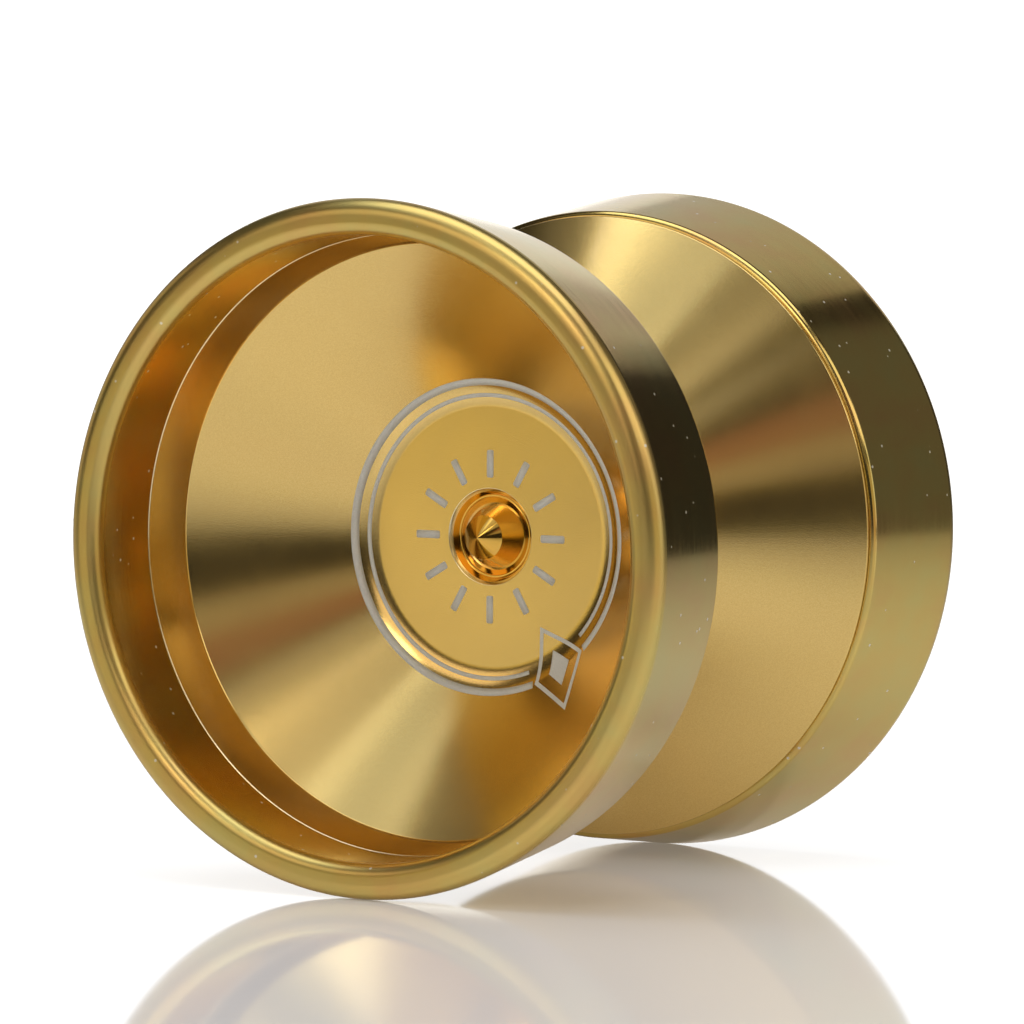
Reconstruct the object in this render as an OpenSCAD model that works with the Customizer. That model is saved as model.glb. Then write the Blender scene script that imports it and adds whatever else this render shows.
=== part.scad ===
// Unresponsive throw yo-yo: two aluminium halves with pressed-on steel weight rings,
// screwed together on a short axle that carries a centring ball bearing.
// The spin axis is Y, the origin is the middle of the string gap, and +Z is up.

/* [Overall] */
// Outer diameter over the weight rings
rim_d = 54; // [45:0.5:70]
// Distance from the middle of the gap to a rim face
half_w = 24.1; // [20:0.1:30]

/* [Weight ring] */
// Axial length of the ring's outer band
ring_w = 11.8; // [9.5:0.1:15]
// How much smaller in radius the body is at the parting line than the lip
band_taper = 1.8; // [1.2:0.05:2.4]
// How far the ring's corner stands out past the body at the parting line
ring_step = 0.4; // [0.2:0.05:0.6]
// Rounding of the lip's outer edge
lip_outer_round = 1.3; // [0.4:0.05:1.4]
// Rounding of the lip's inner edge
lip_inner_round = 1; // [0.3:0.05:1.1]
// Length of the body's shoulder that the ring is pressed onto
press_len = 4.6; // [3:0.1:6]
// Radial thickness of that shoulder at its top
shoulder_t = 0.55; // [0.4:0.05:1.2]
// Thickness of the ring over that shoulder, at the parting line
ring_skin = 0.45; // [0.35:0.05:0.6]
// Rounding of the ring's edge at the parting line
parting_round = 0.5; // [0.2:0.05:0.6]
// Width of the fine groove left at the parting line
parting_gap = 0.08; // [0.04:0.02:0.12]
// Height of the body's cylindrical land beside that groove
parting_land = 0.3; // [0.2:0.05:0.6]

/* [Cup] */
// Step inwards from the ring's wall to the edge of the cup's floor
floor_step = 0.7; // [0.4:0.02:1]
// Height of the floor's edge above the parting line
floor_rise = 0.45; // [0.2:0.05:1.5]
// Rounding between the cup's wall and its floor
floor_round = 0.35; // [0.2:0.05:0.6]
// Radius at which the disc would meet the floor's cone
disc_r = 11.4; // [9.5:0.1:14]
// Rounding between the disc and the cone
disc_round = 3.5; // [1:0.1:4.2]

/* [Hub] */
// Thickness of metal between the axle's bore and the dish
hub_wall = 0.45; // [0.35:0.05:1]
// Radius of the polished dish
dish_r = 3.6; // [3.1:0.1:4.4]
// Depth of the dish
dish_depth = 0.75; // [0.55:0.05:1]
// How far the dish's wall leans in on its way down
dish_lean = 0.3; // [0.1:0.05:0.4]
// Width of the floor between the dish's wall and the spike's foot
groove_w = 0.15; // [0.1:0.05:0.4]
// Rounding on both sides of that floor
groove_round = 0.1; // [0.05:0.01:0.13]
// Chamfer round the dish's rim
dish_chamfer = 0.25; // [0.05:0.01:0.35]
// Radius of the spike at its shoulder, where its cone starts
spike_r = 1.75; // [1.5:0.05:2.2]
// Height of the spike's shoulder above the disc
spike_side_h = 1; // [0.5:0.1:2]
// Height of the spike's cone
spike_cone_h = 0.95; // [0.5:0.05:2]
// Radius of the spike's blunted tip
tip_r = 0.1; // [0.05:0.01:0.2]

/* [String gap] */
// Width of the gap between the two response faces
gap_w = 4.4; // [3.6:0.1:5.3]
// Ridge between the bearing's recess and the response pad
pad_ridge = 0.65; // [0.5:0.05:0.9]
// Radial width of the response pad
pad_w = 2.1; // [1.7:0.05:2.6]
// Thickness of the response pad
pad_t = 1.1; // [0.7:0.05:1.35]
// Response face outside the pad, up to where the catch cone begins
face_margin = 0.9; // [0.6:0.05:1.2]
// Glue line round the pad
pad_clear = 0.06; // [0.04:0.01:0.1]

/* [Bearing] */
// Inner diameter of the bearing
bearing_id = 6.35; // [5.8:0.05:7]
// Outer diameter of the bearing
bearing_od = 12.7; // [12.2:0.05:15.3]
// Width of the bearing
bearing_w = 4.7625; // [4:0.01:5.8]
// Diameter of each ball
ball_d = 1.5875; // [1.3:0.01:1.9]
// Depth of the balls' groove in each race
groove_depth = 0.2; // [0.12:0.01:0.26]
// Clearance between a ball and its grooves
ball_clear = 0.02; // [0.01:0.01:0.04]
// Clearance between a ball and its pocket in the cage
pocket_clear = 0.04; // [0.02:0.01:0.06]
// Depth of the concave groove that centres the string
centring_depth = 0.35; // [0.1:0.05:0.45]
// Width of the flat land on each side of that groove
centring_land = 0.45; // [0.3:0.05:0.8]
// Thickness of a shield
shield_t = 0.2; // [0.15:0.01:0.3]
// Distance from the bearing's face to a shield
shield_inset = 0.46; // [0.4:0.01:0.55]
// Wire diameter of a shield's snap ring
snap_wire = 0.32; // [0.25:0.01:0.36]
// Opening of a snap ring, in degrees
snap_gap = 16; // [8:1:40]
// Radial thickness of the ball cage
cage_t = 0.56; // [0.4:0.02:0.6]
// Rim of the cage beside the balls
cage_rim = 0.25; // [0.15:0.01:0.35]

/* [Axle] */
// Thread diameter of the axle screw
axle_d = 4; // [3:0.1:4.8]
// Length of the axle screw
axle_l = 6; // [5:0.1:8]
// Pitch of the axle's thread
thread_pitch = 0.7; // [0.4:0.05:0.8]
// Size across the flats of the hexagon socket in the axle's end
socket_af = 2; // [1.2:0.1:2.1]
// Depth of that socket
socket_depth = 1.6; // [1:0.1:2]
// Radial clearance of the thread in the halves
thread_clear = 0.05; // [0.02:0.01:0.1]
// Radial clearance of the bearing on its seats
seat_clear = 0.025; // [0.01:0.005:0.05]

/* [Hidden] */
ball_n = 10;
$fn = 128;

// A half faces along the spin axis, towards -Y or +Y
left = -1;
right = 1;

// Weight ring and cup, as radius and distance from the middle of the gap
rim_r = rim_d / 2;
part_r = rim_r - band_taper;
part_y = half_w - ring_w;
press_r = part_r - ring_skin;
wall_r = press_r - shoulder_t;
press_y = part_y + press_len;
wall_proud = 0.03; // the body's edge stands this far inside the ring's wall
edge_round = 0.12; // broken edges of the machined parts
floor_edge = [wall_r - floor_step, part_y + floor_rise];

// Hub: bore, bearing seat and recess
bore_r = axle_d / 2 + thread_clear;
bore_end = 0.1; // space past the end of the axle
bore_y = axle_l / 2 + bore_end;
disc_y = bore_y + hub_wall + dish_depth;
round_share = 0.9; // largest rounding that fits on the groove's floor, as a share of its width
seat_r = bearing_id / 2 - seat_clear;
seat_tip_y = 0.15; // half the space between the two seats
face_y = gap_w / 2;
bearing_y = bearing_w / 2;
race_side_clear = 0.35;
race_edge_clear = 0.3;
recess_r = bearing_od / 2 + race_edge_clear;
recess_y = bearing_y + race_side_clear;
pad_inset = 0.05; // the pad lies this far below the response face
pad_y = face_y + pad_inset;
pad_inner_r = recess_r + pad_ridge;
pad_outer_r = pad_inner_r + pad_w;
face_r = pad_outer_r + face_margin;

// Bearing
pitch_r = (bearing_id + bearing_od) / 4;
groove_r = ball_d / 2 + ball_clear;
inner_land_r = pitch_r - groove_r + groove_depth;
outer_land_r = pitch_r + groove_r - groove_depth;
shoulder_inset = 0.2; // the seat's shoulder touches the inner race only
seat_shoulder_r = inner_land_r - shoulder_inset;
cage_w = ball_d + 2 * cage_rim;
centring_w = bearing_w - 2 * centring_land;
centring_r = centring_w * centring_w / (8 * centring_depth) + centring_depth / 2;
shield_step = 0.45; // the shield's ledge in the outer race
ledge_r = outer_land_r + shield_step;
shield_y = bearing_y - shield_inset;
shield_clear = 0.1; // round the inner race
trim_clear = 0.02; // between the shield, its snap ring and the race

// Metric thread profile
depth_per_pitch = 0.6134;
thread_depth = depth_per_pitch * thread_pitch;
crest_w = thread_pitch / 8;
root_w = thread_pitch / 4;
flank_w = (thread_pitch - crest_w - root_w) / 2;
axle_chamfer = 0.4;
thread_n = floor((axle_l - 2 * axle_chamfer) / thread_pitch);

function ball_name(i) = str("ball_", i < 10 ? "0" : "", i);

function unit(v) = v / norm(v);

function turn_between(from, to) =
    let (d = to - from)
    d > 180 ? d - 360 : d < -180 ? d + 360 : d;

// Points of the arc that rounds corner b, on the way from a to c
function rounded(a, b, c, r, steps = 8) =
    let (
        u = unit(a - b),
        w = unit(c - b),
        half = acos(u * w) / 2,
        centre = b + unit(u + w) * r / sin(half),
        first = b + u * r / tan(half) - centre,
        last = b + w * r / tan(half) - centre,
        start = atan2(first.y, first.x),
        sweep = turn_between(start, atan2(last.y, last.x))
    )
    [for (i = [0:steps]) let (t = start + sweep * i / steps) centre + r * [cos(t), sin(t)]];

// Where the line from p that just touches a circle reaches height y, on the outer side
function tangent_end(p, centre, r, y) =
    let (
        to_centre = centre - p,
        direction = atan2(to_centre.y, to_centre.x) - asin(r / norm(to_centre))
    )
    [p.x + (y - p.y) / tan(direction), y];

// Turns a profile of radius and height into a solid on the spin axis, facing one side
module turned(side) {
    rotate([-90 * side, 0, 0])
        rotate_extrude()
            children();
}

// String gap side of a half, from the bottom of the bore out to the parting line
function gap_side() = [
    [0, bore_y],
    [bore_r, bore_y],
    [bore_r, seat_tip_y + edge_round],
    [bore_r + edge_round, seat_tip_y],
    [seat_r - edge_round, seat_tip_y],
    [seat_r, seat_tip_y + edge_round],
    [seat_r, bearing_y],
    [seat_shoulder_r, bearing_y],
    [seat_shoulder_r, recess_y],
    [recess_r, recess_y],
    [recess_r, face_y + edge_round],
    [recess_r + edge_round, face_y],
    [pad_inner_r - pad_clear, face_y],
    [pad_inner_r - pad_clear, pad_y + pad_t + pad_clear],
    [pad_outer_r + pad_clear, pad_y + pad_t + pad_clear],
    [pad_outer_r + pad_clear, face_y],
    [face_r, face_y],
    [part_r, part_y - parting_land],
    [part_r, part_y - edge_round],
    [part_r - edge_round, part_y]
];

// Shoulder under the weight ring, then the cup's wall, cone and disc
function cup_side() =
    let (
        wall_top = [wall_r - wall_proud, press_y],
        disc_corner = [disc_r, disc_y],
        dish_edge = [dish_r + dish_chamfer, disc_y]
    )
    concat(
        [[press_r, part_y], [press_r, press_y]],
        rounded([press_r, press_y], wall_top, floor_edge, edge_round, 4),
        rounded(wall_top, floor_edge, disc_corner, floor_round),
        rounded(floor_edge, disc_corner, dish_edge, disc_round, 12),
        [dish_edge]
    );

// Polished dish, filled by the flaring foot of the spike in its middle
function hub_side() =
    let (
        dish_y = disc_y - dish_depth,
        dish_wall = [dish_r, disc_y - dish_chamfer],
        wall_foot = [dish_r - dish_lean, dish_y],
        spike_foot = [wall_foot.x - groove_w, dish_y],
        foot_round = min(groove_round, round_share * groove_w),
        side_y = disc_y + spike_side_h,
        tip_y = side_y + spike_cone_h
    )
    concat(
        [dish_wall],
        rounded(dish_wall, wall_foot, spike_foot, foot_round),
        rounded(wall_foot, spike_foot, [spike_r, side_y], foot_round),
        [[spike_r, side_y - edge_round / 2], [spike_r - edge_round / 2, side_y]],
        [[tip_r, tip_y - tip_r / 2], [0, tip_y]]
    );

module half_body(side) {
    color([0.80, 0.62, 0.28])
        turned(side)
            polygon(concat(gap_side(), cup_side(), hub_side()));
}

module weight_ring(side) {
    lip_centre = [rim_r - lip_outer_round, half_w - lip_outer_round];
    band_foot = [part_r + ring_step, part_y + parting_gap];
    lip_corner = tangent_end(band_foot, lip_centre, lip_outer_round, half_w);
    wall_corner = [wall_r, half_w];
    ledge = [wall_r, press_y];
    bore_foot = [press_r, part_y + parting_gap];
    color([0.66, 0.55, 0.28])
        turned(side)
            polygon(concat(
                [bore_foot],
                rounded(bore_foot, band_foot, lip_corner, parting_round, 6),
                rounded(band_foot, lip_corner, wall_corner, lip_outer_round, 12),
                rounded(lip_corner, wall_corner, ledge, lip_inner_round, 12),
                [ledge + [0, edge_round], ledge + [edge_round, 0], [press_r, press_y]]
            ));
}

module response_pad(side) {
    color([0.93, 0.93, 0.90])
        turned(side)
            translate([pad_inner_r, pad_y])
                square([pad_outer_r - pad_inner_r, pad_t]);
}

// Set screw with a hexagon socket in its right-hand end
module axle_screw() {
    root_r = axle_d / 2 - thread_depth;
    first_y = -thread_n * thread_pitch / 2;
    color([0.30, 0.30, 0.32])
        difference() {
            turned(right)
                polygon(concat(
                    [[0, -axle_l / 2], [root_r, -axle_l / 2]],
                    [for (i = [0:thread_n - 1]) each thread_turn(root_r, first_y + i * thread_pitch)],
                    [[root_r, axle_l / 2], [0, axle_l / 2]]
                ));
            translate([0, axle_l / 2 - socket_depth, 0])
                rotate([-90, 0, 0])
                    cylinder(r = socket_af / 2 / cos(30), h = socket_depth + 1, $fn = 6);
        }
}

// One ridge of the thread's profile
function thread_turn(root_r, y) =
    let (crest_r = axle_d / 2, half_root = root_w / 2)
    [
        [root_r, y + half_root],
        [crest_r, y + half_root + flank_w],
        [crest_r, y + half_root + flank_w + crest_w],
        [root_r, y + thread_pitch - half_root]
    ];

// Track that the balls run in, cut half into each race
module ball_groove() {
    translate([pitch_r, 0])
        circle(r = groove_r);
}

module bearing_inner_race() {
    color([0.78, 0.79, 0.80])
        turned(right)
            difference() {
                translate([bearing_id / 2, -bearing_y])
                    square([inner_land_r - bearing_id / 2, bearing_w]);
                ball_groove();
            }
}

module bearing_outer_race() {
    ledge_y = shield_y - shield_t;
    color([0.78, 0.79, 0.80])
        turned(right)
            difference() {
                translate([outer_land_r, -bearing_y])
                    square([bearing_od / 2 - outer_land_r, bearing_w]);
                ball_groove();
                translate([bearing_od / 2 + centring_r - centring_depth, 0])
                    circle(r = centring_r);
                for (side = [left, right])
                    translate([0, side * (ledge_y + bearing_y) / 2])
                        square([2 * ledge_r, bearing_y - ledge_y], center = true);
            }
}

module bearing_cage() {
    color([0.62, 0.50, 0.30])
        difference() {
            turned(right)
                translate([pitch_r - cage_t / 2, -cage_w / 2])
                    square([cage_t, cage_w]);
            for (i = [1:ball_n])
                at_ball(i)
                    sphere(d = ball_d + 2 * pocket_clear);
        }
}

module bearing_shield(side) {
    hole_r = inner_land_r + shield_clear;
    color([0.70, 0.71, 0.72])
        turned(side)
            translate([hole_r, shield_y - shield_t])
                square([ledge_r - trim_clear - hole_r, shield_t]);
}

module snap_ring(side) {
    ring_r = ledge_r - snap_wire / 2 - trim_clear;
    ring_y = shield_y + snap_wire / 2 + trim_clear / 2;
    color([0.55, 0.56, 0.58])
        rotate([-90 * side, 0, 0])
            rotate([0, 0, snap_gap / 2])
                rotate_extrude(angle = 360 - snap_gap)
                    translate([ring_r, ring_y])
                        circle(d = snap_wire);
}

module at_ball(i) {
    rotate([0, 360 / ball_n * (i - 1), 0])
        translate([pitch_r, 0, 0])
            children();
}

module ball(i) {
    color([0.85, 0.86, 0.87])
        at_ball(i)
            sphere(d = ball_d);
}

half_body(left);  // left_body
half_body(right);  // right_body
weight_ring(left);  // left_weight_ring
weight_ring(right);  // right_weight_ring
response_pad(left);  // left_response_pad
response_pad(right);  // right_response_pad
axle_screw();
bearing_inner_race();
bearing_outer_race();
bearing_cage();
bearing_shield(left);  // left_bearing_shield
bearing_shield(right);  // right_bearing_shield
snap_ring(left);  // left_snap_ring
snap_ring(right);  // right_snap_ring
for (i = [1:ball_n]) ball(i);
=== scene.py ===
import math

import bmesh
import bpy
from mathutils import Matrix, Quaternion, Vector


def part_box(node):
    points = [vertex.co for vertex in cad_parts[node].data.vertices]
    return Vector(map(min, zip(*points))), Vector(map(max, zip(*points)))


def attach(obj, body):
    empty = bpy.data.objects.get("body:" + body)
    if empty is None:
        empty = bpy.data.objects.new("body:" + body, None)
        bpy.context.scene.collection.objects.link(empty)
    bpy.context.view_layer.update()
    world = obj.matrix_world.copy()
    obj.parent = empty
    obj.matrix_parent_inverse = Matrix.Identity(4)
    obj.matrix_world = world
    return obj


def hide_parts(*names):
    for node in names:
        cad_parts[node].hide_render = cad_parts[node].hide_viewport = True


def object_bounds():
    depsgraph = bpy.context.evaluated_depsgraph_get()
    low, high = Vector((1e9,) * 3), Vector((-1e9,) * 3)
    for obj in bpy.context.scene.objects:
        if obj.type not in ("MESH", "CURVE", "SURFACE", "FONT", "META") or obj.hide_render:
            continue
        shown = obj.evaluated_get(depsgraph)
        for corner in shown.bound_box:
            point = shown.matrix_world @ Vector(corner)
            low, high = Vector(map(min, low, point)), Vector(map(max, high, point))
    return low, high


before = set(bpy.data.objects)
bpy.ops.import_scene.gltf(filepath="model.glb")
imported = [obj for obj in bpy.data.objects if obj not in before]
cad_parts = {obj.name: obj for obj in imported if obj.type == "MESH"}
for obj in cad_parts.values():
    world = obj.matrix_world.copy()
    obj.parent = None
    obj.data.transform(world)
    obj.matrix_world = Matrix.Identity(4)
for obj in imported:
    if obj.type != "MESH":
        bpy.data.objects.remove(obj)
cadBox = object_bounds()
print("frame loaded with", len(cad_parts), "nodes")

mm = 0.001
turn = 2 * math.pi
halves = {"left": -1, "right": 1}  # which way each half faces along Y


def reach(node, axis=0):
    # how far a turned node reaches from the middle along one axis, in millimetres
    low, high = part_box(node)
    return max(-low[axis], high[axis]) / mm


# helpers that make meshes
def addPiece(name, bm, material, smoothAngle=28, weighted=True):
    for edge in bm.edges:
        edge.smooth = not edge.is_manifold or edge.calc_face_angle(0) < math.radians(smoothAngle)
    for face in bm.faces:
        face.smooth = True
    mesh = bpy.data.meshes.new(name)
    bm.to_mesh(mesh)
    bm.free()
    piece = bpy.data.objects.new(name, mesh)
    bpy.context.scene.collection.objects.link(piece)
    for entry in material if isinstance(material, list) else [material]:
        mesh.materials.append(entry)
    if weighted:
        # large faces keep their own direction beside a small rounding
        shading = piece.modifiers.new("faceWeights", "WEIGHTED_NORMAL")
        shading.keep_sharp = True
        shading.weight = 100
    return piece


def applyModifiers(piece):
    evaluated = piece.evaluated_get(bpy.context.evaluated_depsgraph_get())
    mesh = bpy.data.meshes.new_from_object(evaluated)
    old = piece.data
    piece.modifiers.clear()
    piece.data = mesh
    bpy.data.meshes.remove(old)
    mesh.name = piece.name


degreesPerFacet = 7  # how finely a rounding is drawn
mergeAway = 1e-8  # vertices closer than this, in metres, become one


def turnSolid(corners, side, steps, closed=False):
    # corners: radius, distance from the middle of the gap and rounding, all in millimetres
    bm = bmesh.new()
    points = [Vector((radius, side * away, 0)) for radius, away, rounding in corners]
    verts = [bm.verts.new(point * mm) for point in points]
    count = len(verts)
    for i in range(count if closed else count - 1):
        bm.edges.new((verts[i], verts[(i + 1) % count]))
    for i, (radius, away, rounding) in enumerate(corners):
        if not rounding:
            continue
        before = points[i - 1] - points[i]
        after = points[(i + 1) % count] - points[i]
        opening = before.angle(after)
        bmesh.ops.bevel(bm, geom=[verts[i]], affect="VERTICES", offset_type="OFFSET",
                        offset=rounding / math.tan(opening / 2) * mm,
                        segments=max(2, round(math.degrees(math.pi - opening) / degreesPerFacet)),
                        profile=0.5, material=-1)
    bmesh.ops.spin(bm, geom=bm.verts[:] + bm.edges[:], cent=(0, 0, 0), axis=(0, 1, 0),
                   angle=turn, steps=steps, use_merge=True)
    bmesh.ops.remove_doubles(bm, verts=bm.verts, dist=mergeAway)
    bmesh.ops.dissolve_degenerate(bm, edges=bm.edges, dist=mergeAway)
    bmesh.ops.recalc_face_normals(bm, faces=bm.faces)
    return bm


# helpers that make materials
def linear(hexColour):
    # one sRGB hex value as linear red, green, blue and alpha
    channels = [int(hexColour[i:i + 2], 16) / 255 for i in (1, 3, 5)]
    return [c / 12.92 if c <= 0.04045 else ((c + 0.055) / 1.055) ** 2.4 for c in channels] + [1.0]


def addNode(tree, kind, inputs=None, links=None, **settings):
    node = tree.nodes.new(kind)
    for key, value in settings.items():
        setattr(node, key, value)
    for key, value in (inputs or {}).items():
        node.inputs[key].default_value = value
    for key, source in (links or {}).items():
        tree.links.new(source, node.inputs[key])
    return node


def newMaterial(name, values):
    # values go straight onto the shader's own sockets
    material = bpy.data.materials.new(name)
    material.use_nodes = True
    tree = material.node_tree
    shader = tree.nodes["Principled BSDF"]
    for key, value in values.items():
        shader.inputs[key].default_value = value
    place = addNode(tree, "ShaderNodeTexCoord").outputs["Object"]
    return material, tree, shader, place


def perGrain(millimetres):
    # texture scale that gives one grain of this size, because Object coordinates are metres
    return 1 / (millimetres * mm)


def lathePlace(tree, place, alongLine, acrossLine):
    # coordinates for marks left by turning: long round the axis, short across it, with no seam
    flat = addNode(tree, "ShaderNodeVectorMath", {1: (1, 0, 1)}, {0: place}, operation="MULTIPLY")
    radius = addNode(tree, "ShaderNodeVectorMath", links={0: flat.outputs[0]}, operation="LENGTH")
    way = addNode(tree, "ShaderNodeVectorMath", links={0: flat.outputs[0]}, operation="NORMALIZE")
    spread = addNode(tree, "ShaderNodeVectorMath", {"Scale": perGrain(alongLine) * 0.02},
                     {0: way.outputs[0]}, operation="SCALE")
    apart = addNode(tree, "ShaderNodeSeparateXYZ", links={0: place})
    total = addNode(tree, "ShaderNodeMath", links={0: radius.outputs["Value"], 1: apart.outputs["Y"]},
                    operation="ADD")
    across = addNode(tree, "ShaderNodeMath", {1: perGrain(acrossLine)}, {0: total.outputs[0]},
                     operation="MULTIPLY")
    offset = addNode(tree, "ShaderNodeCombineXYZ", links={"Y": across.outputs[0]})
    return addNode(tree, "ShaderNodeVectorMath", links={0: spread.outputs[0], 1: offset.outputs[0]},
                   operation="ADD").outputs[0]


def anodisedAluminium():
    # turned, fine bead blasted, then anodised and dyed gold: a satin metal with soft streaks,
    # a fine sparkle from the blasting and a thin clear shine from the sealed oxide
    material, tree, shader, place = newMaterial("anodisedAluminiumGold", {
        "Metallic": 1.0, "Coat Weight": 0.8, "Coat Roughness": 0.12})
    # the blasting's pits are about 0.05 mm wide, drawn here at 0.1 mm so that they show
    grain = addNode(tree, "ShaderNodeTexNoise", {"Scale": perGrain(0.1), "Detail": 2.0, "Roughness": 0.6},
                    {"Vector": place})
    pits = addNode(tree, "ShaderNodeMapRange", {"From Min": 0.36, "From Max": 0.64},
                   {"Value": grain.outputs["Fac"]})
    colour = addNode(tree, "ShaderNodeMix", {"A": linear("#e1bc6a"), "B": linear("#e9c878")},
                     {"Factor": pits.outputs["Result"]}, data_type="RGBA")
    tree.links.new(colour.outputs["Result"], shader.inputs["Base Color"])
    cloud = addNode(tree, "ShaderNodeTexNoise", {"Scale": perGrain(6), "Detail": 3.0}, {"Vector": place})
    satin = addNode(tree, "ShaderNodeMapRange",
                    {"From Min": 0.3, "From Max": 0.7, "To Min": 0.16, "To Max": 0.2},
                    {"Value": cloud.outputs["Fac"]})
    tree.links.new(satin.outputs["Result"], shader.inputs["Roughness"])
    lines = addNode(tree, "ShaderNodeTexNoise", {"Scale": 1.0, "Detail": 2.0},
                    {"Vector": lathePlace(tree, place, 8, 0.12)})
    turned = addNode(tree, "ShaderNodeBump", {"Strength": 0.35, "Distance": 2e-6},
                     {"Height": lines.outputs["Fac"]})
    blasted = addNode(tree, "ShaderNodeBump", {"Strength": 0.5, "Distance": 6e-6},
                      {"Height": grain.outputs["Fac"], "Normal": turned.outputs[0]})
    tree.links.new(blasted.outputs[0], shader.inputs["Normal"])
    return material


def polishedAluminium():
    # the dish and the spike are turned bright before anodising: mirror-like, deep orange gold
    material, tree, shader, place = newMaterial("polishedAluminiumGold", {
        "Metallic": 1.0, "Roughness": 0.09, "Coat Weight": 0.8, "Coat Roughness": 0.04})
    shader.inputs["Base Color"].default_value = linear("#e8b548")
    lines = addNode(tree, "ShaderNodeTexNoise", {"Scale": 1.0, "Detail": 2.0},
                    {"Vector": lathePlace(tree, place, 12, 0.08)})
    turned = addNode(tree, "ShaderNodeBump", {"Strength": 0.4, "Distance": 1e-6},
                     {"Height": lines.outputs["Fac"]})
    tree.links.new(turned.outputs[0], shader.inputs["Normal"])
    return material


lipFrom = 22.6  # how far out the brushed lip starts, in millimetres


def paintedEdgeHighlight():
    # painted highlight: pale, near-white gold for the rounded corners, standing in for the bright glints that
    # light makes on them
    material, tree, shader, place = newMaterial("paintedHighlightEdgeGold", {
        "Metallic": 1.0, "Roughness": 0.22})
    # painted highlight: the noise mixes two pale golds across the corners
    highlightPatches = addNode(tree, "ShaderNodeTexNoise", {"Scale": perGrain(1.5), "Detail": 2.0}, {"Vector": place})
    colour = addNode(tree, "ShaderNodeMix", {"A": linear("#f0dca6"), "B": linear("#fbf0cf")},
                     {"Factor": highlightPatches.outputs["Fac"]}, data_type="RGBA")
    tree.links.new(colour.outputs["Result"], shader.inputs["Base Color"])
    return material


def coatedSteel():
    # polished stainless steel with a vapour-deposited gold coat: clearer and greener than the
    # aluminium, with faint stains of the coat's thickness, polishing lines and a little dust
    material, tree, shader, place = newMaterial("coatedSteelGold", {"Metallic": 1.0})
    stain = addNode(tree, "ShaderNodeTexNoise", {"Scale": 1.0, "Detail": 3.0, "Roughness": 0.55},
                    {"Vector": lathePlace(tree, place, 4, 7)})
    tints = addNode(tree, "ShaderNodeValToRGB", links={"Fac": stain.outputs["Fac"]})
    ramp = tints.color_ramp
    ramp.elements[0].position = 0.3
    ramp.elements[0].color = linear("#cdb96e")
    ramp.elements[1].position = 0.72
    ramp.elements[1].color = linear("#d3ac66")
    middle = ramp.elements.new(0.5)
    middle.color = linear("#d2b568")
    # grains of dust, about 0.15 mm wide and a few millimetres apart
    cells = addNode(tree, "ShaderNodeTexVoronoi", {"Scale": perGrain(1.7)}, {"Vector": place})
    dust = addNode(tree, "ShaderNodeMapRange",
                   {"From Min": 0.05, "From Max": 0.09, "To Min": 0.75, "To Max": 0.0},
                   {"Value": cells.outputs["Distance"]})
    dusty = addNode(tree, "ShaderNodeMix", {"B": linear("#e8e4d8")},
                    {"Factor": dust.outputs["Result"], "A": tints.outputs["Color"]}, data_type="RGBA")
    tree.links.new(dusty.outputs["Result"], shader.inputs["Base Color"])
    clean = addNode(tree, "ShaderNodeMapRange",
                    {"From Min": 0.05, "From Max": 0.09, "To Min": 0.4, "To Max": 1.0},
                    {"Value": cells.outputs["Distance"]})
    tree.links.new(clean.outputs["Result"], shader.inputs["Metallic"])
    lines = addNode(tree, "ShaderNodeTexNoise", {"Scale": 1.0, "Detail": 3.0},
                    {"Vector": lathePlace(tree, place, 6, 0.1)})
    clear = addNode(tree, "ShaderNodeMapRange",
                    {"From Min": 0.35, "From Max": 0.65, "To Min": 0.12, "To Max": 0.18},
                    {"Value": lines.outputs["Fac"]})
    # the rounded lip is only brushed, so it is duller than the polished band
    apart = addNode(tree, "ShaderNodeSeparateXYZ", links={0: place})
    away = addNode(tree, "ShaderNodeMath", links={0: apart.outputs["Y"]}, operation="ABSOLUTE")
    brushed = addNode(tree, "ShaderNodeMapRange", {"From Min": lipFrom * mm, "From Max": (lipFrom + 0.6) * mm,
                                                   "To Min": 0.0, "To Max": 0.17}, {"Value": away.outputs[0]})
    rough = addNode(tree, "ShaderNodeMath", links={0: clear.outputs["Result"], 1: brushed.outputs["Result"]},
                    operation="ADD")
    tree.links.new(rough.outputs[0], shader.inputs["Roughness"])
    polished = addNode(tree, "ShaderNodeBump", {"Strength": 0.3, "Distance": 1.5e-6},
                       {"Height": lines.outputs["Fac"]})
    tree.links.new(polished.outputs[0], shader.inputs["Normal"])
    return material


def etchedAluminium():
    # the laser burns the dye away and leaves pale grey, matt metal
    material, tree, shader, place = newMaterial("laserEtchedAluminium", {"Roughness": 0.6})
    spots = addNode(tree, "ShaderNodeTexNoise", {"Scale": perGrain(0.12), "Detail": 2.0}, {"Vector": place})
    colour = addNode(tree, "ShaderNodeMix", {"A": linear("#dde1df"), "B": linear("#f3f6f4")},
                     {"Factor": spots.outputs["Fac"]}, data_type="RGBA")
    tree.links.new(colour.outputs["Result"], shader.inputs["Base Color"])
    rough = addNode(tree, "ShaderNodeBump", {"Strength": 0.4, "Distance": 4e-6},
                    {"Height": spots.outputs["Fac"]})
    tree.links.new(rough.outputs[0], shader.inputs["Normal"])
    return material


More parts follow.
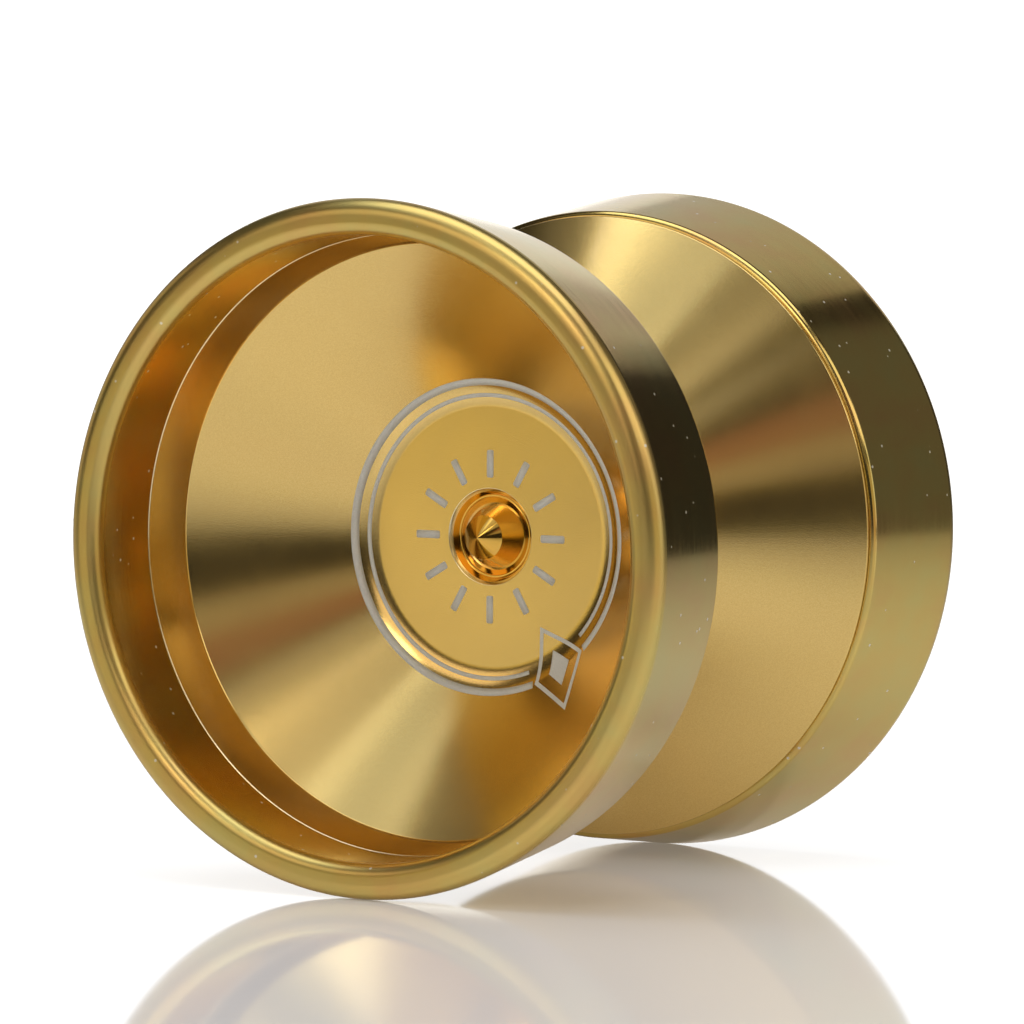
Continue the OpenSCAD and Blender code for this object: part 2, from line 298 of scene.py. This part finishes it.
def siliconeRubber():
    # moulded silicone: milky, slightly see-through and softly shiny
    material, tree, shader, place = newMaterial("siliconeRubber", {
        "Roughness": 0.5, "IOR": 1.41, "Subsurface Weight": 0.25,
        "Subsurface Radius": (0.0012, 0.0011, 0.001), "Subsurface Scale": 1.0})
    skin = addNode(tree, "ShaderNodeTexNoise", {"Scale": perGrain(0.3), "Detail": 3.0}, {"Vector": place})
    colour = addNode(tree, "ShaderNodeMix", {"A": linear("#e4e3dc"), "B": linear("#f0efe9")},
                     {"Factor": skin.outputs["Fac"]}, data_type="RGBA")
    tree.links.new(colour.outputs["Result"], shader.inputs["Base Color"])
    bump = addNode(tree, "ShaderNodeBump", {"Strength": 0.3, "Distance": 8e-6},
                   {"Height": skin.outputs["Fac"]})
    tree.links.new(bump.outputs[0], shader.inputs["Normal"])
    return material


def turnedMetal(name, darker, lighter, roughness, lineWidth, metallic=1.0):
    # plain turned or ground metal: fine lines round the axis, which draw out its highlights
    material, tree, shader, place = newMaterial(name, {"Metallic": metallic})
    lines = addNode(tree, "ShaderNodeTexNoise", {"Scale": 1.0, "Detail": 3.0},
                    {"Vector": lathePlace(tree, place, 6, lineWidth)})
    colour = addNode(tree, "ShaderNodeMix", {"A": linear(darker), "B": linear(lighter)},
                     {"Factor": lines.outputs["Fac"]}, data_type="RGBA")
    tree.links.new(colour.outputs["Result"], shader.inputs["Base Color"])
    worn = addNode(tree, "ShaderNodeMapRange", {"From Min": 0.3, "From Max": 0.7,
                                                "To Min": roughness * 0.8, "To Max": roughness * 1.25},
                   {"Value": lines.outputs["Fac"]})
    tree.links.new(worn.outputs["Result"], shader.inputs["Roughness"])
    bump = addNode(tree, "ShaderNodeBump", {"Strength": 0.3, "Distance": 2e-6},
                   {"Height": lines.outputs["Fac"]})
    tree.links.new(bump.outputs[0], shader.inputs["Normal"])
    return material


materials = {
    "satin": anodisedAluminium(),
    "polished": polishedAluminium(),
    # painted highlight for the rounded corners of each half
    "edge": paintedEdgeHighlight(),
    "ring": coatedSteel(),
    "etched": etchedAluminium(),
    "silicone": siliconeRubber(),
    # ground chrome steel of the races, and the balls lapped to a mirror
    "race": turnedMetal("groundBearingSteel", "#a9abad", "#c9cbcc", 0.14, 0.08),
    "ball": turnedMetal("lappedBearingSteel", "#c2c4c6", "#d4d5d6", 0.04, 0.3),
    # stamped stainless sheet, rolled smooth
    "shield": turnedMetal("stampedStainlessSheet", "#9b9d9f", "#b4b6b8", 0.24, 0.15),
    # drawn spring wire, dull grey
    "wire": turnedMetal("drawnSpringWire", "#77797c", "#95979a", 0.3, 0.1),
    # pressed brass ribbon
    "cage": turnedMetal("pressedBrass", "#a98445", "#c39a55", 0.28, 0.2),
    # hardened steel under black oxide: dark with a dull oily shine
    "axle": turnedMetal("blackOxideSteel", "#1d1d1f", "#343437", 0.32, 0.15, metallic=0.85),
}
print("materials made:", len(materials))


# one aluminium half: radii from the axis and distances from the middle of the gap, in millimetres
half = {
    "steps": 256,
    "boreRadius": 2.05, "boreDepth": 3.1,
    "seatRadius": 3.15, "seatTip": 0.15, "seatShoulder": 3.95,
    "bearingFace": 2.38, "recessRadius": 6.65, "recessDepth": 2.73,
    "faceRadius": 10.3, "faceAway": 2.2,
    "padInner": 7.24, "padOuter": 9.46, "padFloor": 3.41,
    "land": 0.3, "edge": 0.12, "pressRadius": 24.75,
    "wallGap": 0.03, "wallRadius": 24.2, "floorStep": 0.7, "floorRise": 0.45, "floorRound": 0.35,
    "discRadius": 11.4, "discAway": 4.3, "discRound": 3.5,
    "dishRadius": 3.6, "dishDepth": 0.75, "dishLean": 0.3, "grooveWidth": 0.15, "grooveRound": 0.1,
    "dishChamfer": 0.25, "spikeRadius": 1.75, "spikeSide": 1.0, "spikeCone": 0.95, "tipRadius": 0.1,
}
partRadius = reach("left_body")
pressAway = reach("left_body", 1)
rimRadius = reach("left_weight_ring") - 0.002
rimAway = reach("left_weight_ring", 1) - 0.001
partAway = 12.3  # where the ring begins, measured from the middle of the gap
# how far each differently coloured zone reaches past its own edge: the polished dish, and the rim, shoulder
# and parting corners, which carry the painted edge highlight
zones = {"polishFrom": 0.1, "rimBelow": 0.03, "rimOut": 0.35, "shoulderBelow": 0.16,
         "shoulderOut": 0.12, "parting": 0.14}


def halfCorners(h):
    dishFloor = h["discAway"] - h["dishDepth"]
    dishFoot = h["dishRadius"] - h["dishLean"]
    spikeTop = h["discAway"] + h["spikeSide"]
    return [
        (0, h["boreDepth"], 0),
        (h["boreRadius"], h["boreDepth"], 0),
        (h["boreRadius"], h["seatTip"], h["edge"]),
        (h["seatRadius"], h["seatTip"], h["edge"]),
        (h["seatRadius"], h["bearingFace"], 0.05),
        (h["seatShoulder"], h["bearingFace"], 0.05),
        (h["seatShoulder"], h["recessDepth"], 0.1),
        (h["recessRadius"], h["recessDepth"], 0.1),
        (h["recessRadius"], h["faceAway"], h["edge"]),
        (h["padInner"], h["faceAway"], 0.06),
        (h["padInner"], h["padFloor"], 0.1),
        (h["padOuter"], h["padFloor"], 0.1),
        (h["padOuter"], h["faceAway"], 0.06),
        (h["faceRadius"], h["faceAway"], 0.4),
        (partRadius, partAway - h["land"], 0.12),
        (partRadius, partAway, h["edge"]),
        (h["pressRadius"], partAway, 0.03),
        (h["pressRadius"], pressAway, 0.1),
        (h["wallRadius"] - h["wallGap"], pressAway, h["edge"]),
        (h["wallRadius"] - h["floorStep"], partAway + h["floorRise"], h["floorRound"]),
        (h["discRadius"], h["discAway"], h["discRound"]),
        (h["dishRadius"] + h["dishChamfer"], h["discAway"], 0.08),
        (h["dishRadius"], h["discAway"] - h["dishChamfer"], 0.08),
        (dishFoot, dishFloor, h["grooveRound"]),
        (dishFoot - h["grooveWidth"], dishFloor, h["grooveRound"]),
        (h["spikeRadius"], spikeTop, 0.05),
        (h["tipRadius"], spikeTop + h["spikeCone"] - h["tipRadius"] / 2, 0.03),
        (0, spikeTop + h["spikeCone"], 0),
    ]


def makeHalf(sideName, side):
    bm = turnSolid(halfCorners(half), side, half["steps"])
    for face in bm.faces:
        middle = face.calc_center_median()
        radius = math.hypot(middle.x, middle.z) / mm
        away = side * middle.y / mm
        if away > half["boreDepth"] + zones["polishFrom"] and radius < half["dishRadius"]:
            face.material_index = 1
        rimHigh = away > half["discAway"] - half["dishChamfer"] - zones["rimBelow"]
        rimWide = half["dishRadius"] - zones["rimBelow"] < radius < half["dishRadius"] + zones["rimOut"]
        shoulderHigh = away > pressAway - zones["shoulderBelow"]
        onShoulder = shoulderHigh and radius < half["wallRadius"] + zones["shoulderOut"]
        onParting = abs(away - partAway) < zones["parting"] and radius > partRadius - zones["parting"]
        # painted highlight: the dish rim, the shoulder and the parting line take the pale third material
        if (rimHigh and rimWide) or onShoulder or onParting:
            face.material_index = 2
    piece = addPiece(sideName + "_half", bm,
                     [materials["satin"], materials["polished"], materials["edge"]])
    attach(piece, sideName + "_half")
    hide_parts(sideName + "_body")
    return piece


# steel weight ring, pressed onto the half; sizes in millimetres
ring = {
    "steps": 256,
    "cornerStep": 0.4, "cornerRound": 0.5,
    "lipRound": 1.3, "lipInnerRound": 1.0,
    "wallRadius": 24.2, "boreRadius": 24.75, "partingGap": 0.08,
}


def lipCorner(foot, centre, radius, away):
    # where the band's line, which just touches the lip's rounding, reaches the rim's face
    toCentre = Vector((centre[0] - foot[0], centre[1] - foot[1]))
    slope = math.atan2(toCentre.y, toCentre.x) - math.asin(radius / toCentre.length)
    return foot[0] + (away - foot[1]) / math.tan(slope)


def makeRing(sideName, side):
    foot = (partRadius + ring["cornerStep"], partAway + ring["partingGap"])
    centre = (rimRadius - ring["lipRound"], rimAway - ring["lipRound"])
    corners = [
        (ring["boreRadius"], foot[1], 0.05),
        (foot[0], foot[1], ring["cornerRound"]),
        (lipCorner(foot, centre, ring["lipRound"], rimAway), rimAway, ring["lipRound"]),
        (ring["wallRadius"], rimAway, ring["lipInnerRound"]),
        (ring["wallRadius"], pressAway, 0.1),
        (ring["boreRadius"], pressAway, 0.05),
    ]
    bm = turnSolid(corners, side, ring["steps"], closed=True)
    piece = addPiece(sideName + "_ring", bm, materials["ring"])
    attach(piece, sideName + "_half")
    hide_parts(sideName + "_weight_ring")
    return piece


# laser marks in a cup: two rings, twelve ticks and a lozenge; sizes in millimetres
marks = {
    "outerRing": (12.05, 12.6), "innerRing": (11.1, 11.42),
    "tickCount": 12, "tickFrom": 4.7, "tickTo": 6.9, "tickWidth": 0.62,
    "lozengeAngle": -56, "lozengeRadius": 12.1, "lozengeWidth": 2.6, "lozengeLength": 3.7,
    "lozengeLine": 0.32, "lozengeDot": 0.42,
    "thickness": 0.02, "startAway": 8,
}


def flatPlace(side, angle, radius, turned=0):
    # a spot above the disc, seen square on from the cup's open side
    away = Matrix.Translation((0, side * marks["startAway"] * mm, 0))
    spot = Matrix.Translation((radius * mm * math.cos(angle), 0, radius * mm * math.sin(angle)))
    return away @ spot @ Matrix.Rotation(-angle - turned, 4, "Y") @ Matrix.Rotation(math.pi / 2, 4, "X")


def makeMarks(sideName, side, target):
    bm = bmesh.new()
    middle = math.radians(marks["lozengeAngle"])
    for inner, outer in (marks["outerRing"], marks["innerRing"]):
        # each ring stops on both sides of the lozenge
        room = 1.1 * marks["lozengeWidth"] / outer
        start = Vector((math.cos(middle + room), 0, math.sin(middle + room)))
        away = Vector((0, side * marks["startAway"] * mm, 0))
        ends = [bm.verts.new(start * radius * mm + away) for radius in (inner, outer)]
        bmesh.ops.spin(bm, geom=[*ends, bm.edges.new(ends)], cent=(0, 0, 0), axis=(0, -1, 0),
                       angle=turn - 2 * room, steps=220)
    for i in range(marks["tickCount"]):
        length = (marks["tickTo"] - marks["tickFrom"]) * mm
        spot = flatPlace(side, turn * i / marks["tickCount"], (marks["tickTo"] + marks["tickFrom"]) / 2)
        size = Matrix.Diagonal((length, marks["tickWidth"] * mm, 1, 1))
        made = bmesh.ops.create_grid(bm, x_segments=1, y_segments=1, size=0.5, matrix=spot @ size)
        bmesh.ops.bevel(bm, geom=made["verts"], affect="VERTICES", offset_type="OFFSET",
                        offset=0.15 * mm, segments=3, profile=0.5, material=-1)
    spot = flatPlace(side, middle, marks["lozengeRadius"])
    for share, line in ((1, marks["lozengeLine"]), (marks["lozengeDot"], 0)):
        size = Matrix.Diagonal((share * marks["lozengeLength"] * mm,
                                share * marks["lozengeWidth"] * mm, 1, 1))
        made = bmesh.ops.create_circle(bm, cap_ends=True, segments=4, radius=1, matrix=spot @ size)
        faces = [made["verts"][0].link_faces[0]]
        if line:
            outline = bmesh.ops.inset_region(bm, faces=faces, thickness=line * mm, use_boundary=True,
                                             use_even_offset=True)
            bmesh.ops.delete(bm, geom=faces, context="FACES_ONLY")
            faces = outline["faces"]
        edges = {edge for face in faces for edge in face.edges}
        bmesh.ops.subdivide_edges(bm, edges=list(edges), cuts=11, use_grid_fill=True)
    piece = addPiece(sideName + "_marks", bm, materials["etched"], weighted=False)
    wrap = piece.modifiers.new("ontoTheCup", "SHRINKWRAP")
    wrap.target = target
    wrap.wrap_method = "PROJECT"
    wrap.use_project_x = wrap.use_project_z = False
    wrap.use_project_y = True
    wrap.use_negative_direction = side > 0
    wrap.use_positive_direction = side < 0
    skin = piece.modifiers.new("skin", "SOLIDIFY")
    skin.thickness = marks["thickness"] * mm
    skin.offset = 0
    applyModifiers(piece)
    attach(piece, sideName + "_half")
    return piece


# response pad, a flat ring of silicone; sizes in millimetres
pad = {"steps": 192, "inner": 7.3, "outer": 9.4, "edge": 0.14}


def makePad(sideName, side):
    low, high = sorted(abs(corner.y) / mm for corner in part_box(sideName + "_response_pad"))
    corners = [(pad["inner"], low, pad["edge"]), (pad["outer"], low, pad["edge"]),
               (pad["outer"], high, pad["edge"]), (pad["inner"], high, pad["edge"])]
    bm = turnSolid(corners, side, pad["steps"], closed=True)
    piece = addPiece(sideName + "_pad", bm, materials["silicone"])
    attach(piece, "left_half" if side < 0 else "right_carrier")
    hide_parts(sideName + "_response_pad")
    return piece


for sideName, side in halves.items():
    target = makeHalf(sideName, side)
    makeRing(sideName, side)
    makeMarks(sideName, side, target)
    makePad(sideName, side)
print("halves, rings, marks and pads made")


# axle screw with its real thread; sizes in millimetres
axle = {"pitch": 0.7, "steps": 48, "crest": 0.0875, "root": 0.175, "depth": 0.4294,
        "chamfer": 0.4, "socketFlats": 2.0, "socketDepth": 1.6, "cutterReach": 0.6, "cutterClear": 0.01}


def makeAxle():
    radius = reach("axle_screw")
    length = 2 * reach("axle_screw", 1)
    core = radius - axle["depth"]
    flank = (axle["pitch"] - axle["crest"] - axle["root"]) / 2
    turns = math.ceil(length / axle["pitch"]) + 2
    start = -turns * axle["pitch"] / 2
    outline = [(core, 0), (core, axle["root"]), (radius, axle["root"] + flank),
               (radius, axle["root"] + flank + axle["crest"]), (core, axle["pitch"])]
    bm = bmesh.new()
    verts = [bm.verts.new((r * mm, (start + along) * mm, 0)) for r, along in outline]
    edges = [bm.edges.new(pair) for pair in zip(verts, verts[1:])]
    bmesh.ops.spin(bm, geom=verts + edges, cent=(0, 0, 0), axis=(0, 1, 0), angle=turn * (turns - 1),
                   steps=axle["steps"] * (turns - 1),
                   dvec=(0, axle["pitch"] / axle["steps"] * mm, 0))
    bmesh.ops.remove_doubles(bm, verts=bm.verts, dist=1e-6)
    for end in (-1, 1):
        face = Vector((0, end * length / 2 * mm, 0))
        cut = bmesh.ops.bisect_plane(bm, geom=bm.verts[:] + bm.edges[:] + bm.faces[:], dist=1e-7,
                                     plane_co=face, plane_no=(0, end, 0), clear_outer=True)
        rim = [e for e in cut["geom_cut"] if isinstance(e, bmesh.types.BMEdge)]
        bmesh.ops.contextual_create(bm, geom=rim)
    bmesh.ops.triangulate(bm, faces=[f for f in bm.faces if len(f.verts) > 4])
    bmesh.ops.recalc_face_normals(bm, faces=bm.faces)
    piece = addPiece("axle", bm, materials["axle"], weighted=False)
    # one cutter takes off both ends' corners and the hexagon socket
    bm = bmesh.new()
    reachOut = radius + axle["cutterReach"]
    beyond = length / 2 + axle["cutterClear"]
    corners = [(radius - axle["chamfer"], beyond, 0), (reachOut, beyond, 0),
               (reachOut, length / 2 - axle["chamfer"] - axle["cutterReach"], 0)]
    for end in (-1, 1):
        made = turnSolid(corners, end, 64, closed=True)
        mesh = bpy.data.meshes.new("cutter")
        made.to_mesh(mesh)
        made.free()
        bm.from_mesh(mesh)
        bpy.data.meshes.remove(mesh)
    socketAt = Matrix.Translation((0, (length / 2 - axle["socketDepth"] / 2 + 0.05) * mm, 0))
    across = axle["socketFlats"] / 2 / math.cos(math.pi / 6) * mm
    bmesh.ops.create_cone(bm, cap_ends=True, segments=6, radius1=across, radius2=across,
                          depth=(axle["socketDepth"] + 0.1) * mm,
                          matrix=socketAt @ Matrix.Rotation(math.pi / 2, 4, "X"))
    bmesh.ops.recalc_face_normals(bm, faces=bm.faces)
    cutter = addPiece("axleCutter", bm, materials["axle"], weighted=False)
    cut = piece.modifiers.new("ends", "BOOLEAN")
    cut.operation = "DIFFERENCE"
    cut.object = cutter
    cut.solver = "EXACT"
    cut.use_self = True
    applyModifiers(piece)
    bpy.data.objects.remove(cutter)
    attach(piece, "left_half")
    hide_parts("axle_screw")
    return piece


makeAxle()
print("axle made")


# the bearing's nodes stay as they are: each gets its finish
bearing = {
    "bearing_inner_race": ("race", "bearing_steel"),
    "bearing_outer_race": ("race", "bearing_steel"),
    "bearing_cage": ("cage", "cage_brass"),
    "left_bearing_shield": ("shield", "shield_steel"),
    "right_bearing_shield": ("shield", "shield_steel"),
    "left_snap_ring": ("wire", "shield_steel"),
    "right_snap_ring": ("wire", "shield_steel"),
}
bearing.update({name: ("ball", "bearing_steel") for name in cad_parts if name.startswith("ball_")})
for name, (finish, slotName) in bearing.items():
    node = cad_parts[name]
    node.data.materials.clear()
    node.data.materials.append(materials[finish])
print("bearing finished:", len(bearing), "nodes")


# floor and room
studio = {
    "floorColour": "#f4f4f4", "floorGlow": 0.12, "floorRoughness": 0.06, "floorSize": 0.45,
    "roomLight": 0.03, "behind": 1.25,
}


def makeFloor():
    bm = bmesh.new()
    level = cadBox[0].z
    bmesh.ops.create_circle(bm, cap_ends=True, segments=96, radius=studio["floorSize"],
                            matrix=Matrix.Translation((0, 0, level)))
    # white acrylic sheet: pale, with a clear mirror image at a low angle
    material, tree, shader, place = newMaterial("whiteAcrylic", {
        "Base Color": linear(studio["floorColour"]), "Roughness": studio["floorRoughness"], "IOR": 1.49,
        "Emission Color": linear(studio["floorColour"]), "Emission Strength": studio["floorGlow"]})
    floor = addPiece("studioFloor", bm, material, weighted=False)


def makeWorld():
    world = bpy.data.worlds.new("studio")
    bpy.context.scene.world = world
    world.use_nodes = True
    tree = world.node_tree
    tree.nodes.clear()
    seen = addNode(tree, "ShaderNodeBackground", {"Color": (1, 1, 1, 1), "Strength": studio["behind"]})
    room = addNode(tree, "ShaderNodeBackground",
                   {"Color": (1, 0.95, 0.88, 1), "Strength": studio["roomLight"]})
    path = addNode(tree, "ShaderNodeLightPath")
    both = addNode(tree, "ShaderNodeMixShader", links={0: path.outputs["Is Camera Ray"],
                                                      1: room.outputs[0], 2: seen.outputs[0]})
    addNode(tree, "ShaderNodeOutputWorld", links={"Surface": both.outputs[0]})


def direction(azimuth, elevation):
    a, e = math.radians(azimuth), math.radians(elevation)
    return Vector((math.sin(a) * math.cos(e), -math.cos(a) * math.cos(e), math.sin(e)))


# azimuth and elevation of the middle in degrees, distance in metres,
# width and height in degrees, brightness and colour
softboxes = {
    "overhead": (-22, 53, 0.9, 26, 16, 0.8, "#e8f2ff"),
    "overheadRight": (6, 48, 0.9, 24, 16, 0.25, "#ffffff"),
    "overheadLeft": (-52, 50, 0.9, 24, 16, 0.15, "#ffffff"),
    "amberStrip": (31, 23, 0.9, 14, 8, 0.28, "#ffbcaa"),
    "paleStrip": (33, 15, 0.9, 16, 8, 0.36, "#fff4e0"),
    "keyCard": (2, 31, 0.33, 18, 12, 2.7, "#fff8ec"),
    "frontCard": (-16, 22, 0.33, 44, 26, 1.1, "#ffeedd"),
    "edgeCard": (22, 34, 0.33, 14, 12, 0.4, "#ffffff"),
    "topCard": (4, 44, 0.33, 26, 12, 0.35, "#ffffff"),
    "tableGlow": (-37, -3, 0.33, 18, 10, 0.7, "#ffeea7"),
    "left": (-87, 13, 0.9, 26, 30, 0.55, "#fff0d8"),
    "backLeft": (-112, 10, 0.9, 24, 24, 0.35, "#fffaf0"),
    "backdrop": (-155, 9, 0.9, 42, 24, 0.9, "#ffffff"),
    "backdropFoot": (-148, 3, 0.9, 20, 11, 0.45, "#ffffff"),
    "backdropHigh": (-158, 34, 0.9, 54, 24, 0.5, "#ffffff"),
    "rightBack": (104, 16, 0.9, 28, 34, 0.85, "#ffffff"),
    "right": (72, 36, 0.9, 44, 28, 1.45, "#fffaf2"),
    "rightLow": (70, 6, 0.9, 40, 20, 0.55, "#ffe9b8"),
    "dimCorner": (138, 20, 0.9, 32, 50, 0.1, "#ffffff"),
    "top": (0, 84, 0.9, 60, 40, 2.3, "#f2f6ff"),
}


def makeSoftbox(name, azimuth, elevation, away, width, height, brightness, colour):
    data = bpy.data.lights.new(name, "AREA")
    data.shape = "RECTANGLE"
    data.size = 2 * away * math.tan(math.radians(width) / 2)
    data.size_y = 2 * away * math.tan(math.radians(height) / 2)
    data.energy = brightness * math.pi * data.size * data.size_y
    data.color = linear(colour)[:3]
    light = bpy.data.objects.new(name, data)
    bpy.context.scene.collection.objects.link(light)
    way = direction(azimuth, elevation)
    light.location = way * away
    light.rotation_mode = "QUATERNION"
    light.rotation_quaternion = way.to_track_quat("Z", "Y")
    light.visible_camera = False


camera = {"azimuth": 31.55, "elevation": 3.74, "roll": 0.2, "away": 0.5036,
          "lens": 221.6, "sensor": 36, "shift": (-0.0062, 0.0213)}


def makeCamera():
    data = bpy.data.cameras.new("camera")
    data.sensor_width = camera["sensor"]
    data.lens = camera["lens"]
    data.shift_x, data.shift_y = camera["shift"]
    data.clip_start, data.clip_end = 0.01, 20
    view = bpy.data.objects.new("camera", data)
    bpy.context.scene.collection.objects.link(view)
    back = direction(camera["azimuth"], camera["elevation"])
    view.location = back * camera["away"]
    view.rotation_mode = "QUATERNION"
    level = (-back).to_track_quat("-Z", "Y")
    view.rotation_quaternion = level @ Quaternion((0, 0, 1), math.radians(camera["roll"]))
    bpy.context.scene.camera = view


makeFloor()
makeWorld()
for name, values in softboxes.items():
    makeSoftbox(name, *values)
makeCamera()
bpy.context.scene.view_settings.view_transform = "Standard"
print("floor, lights and camera set")
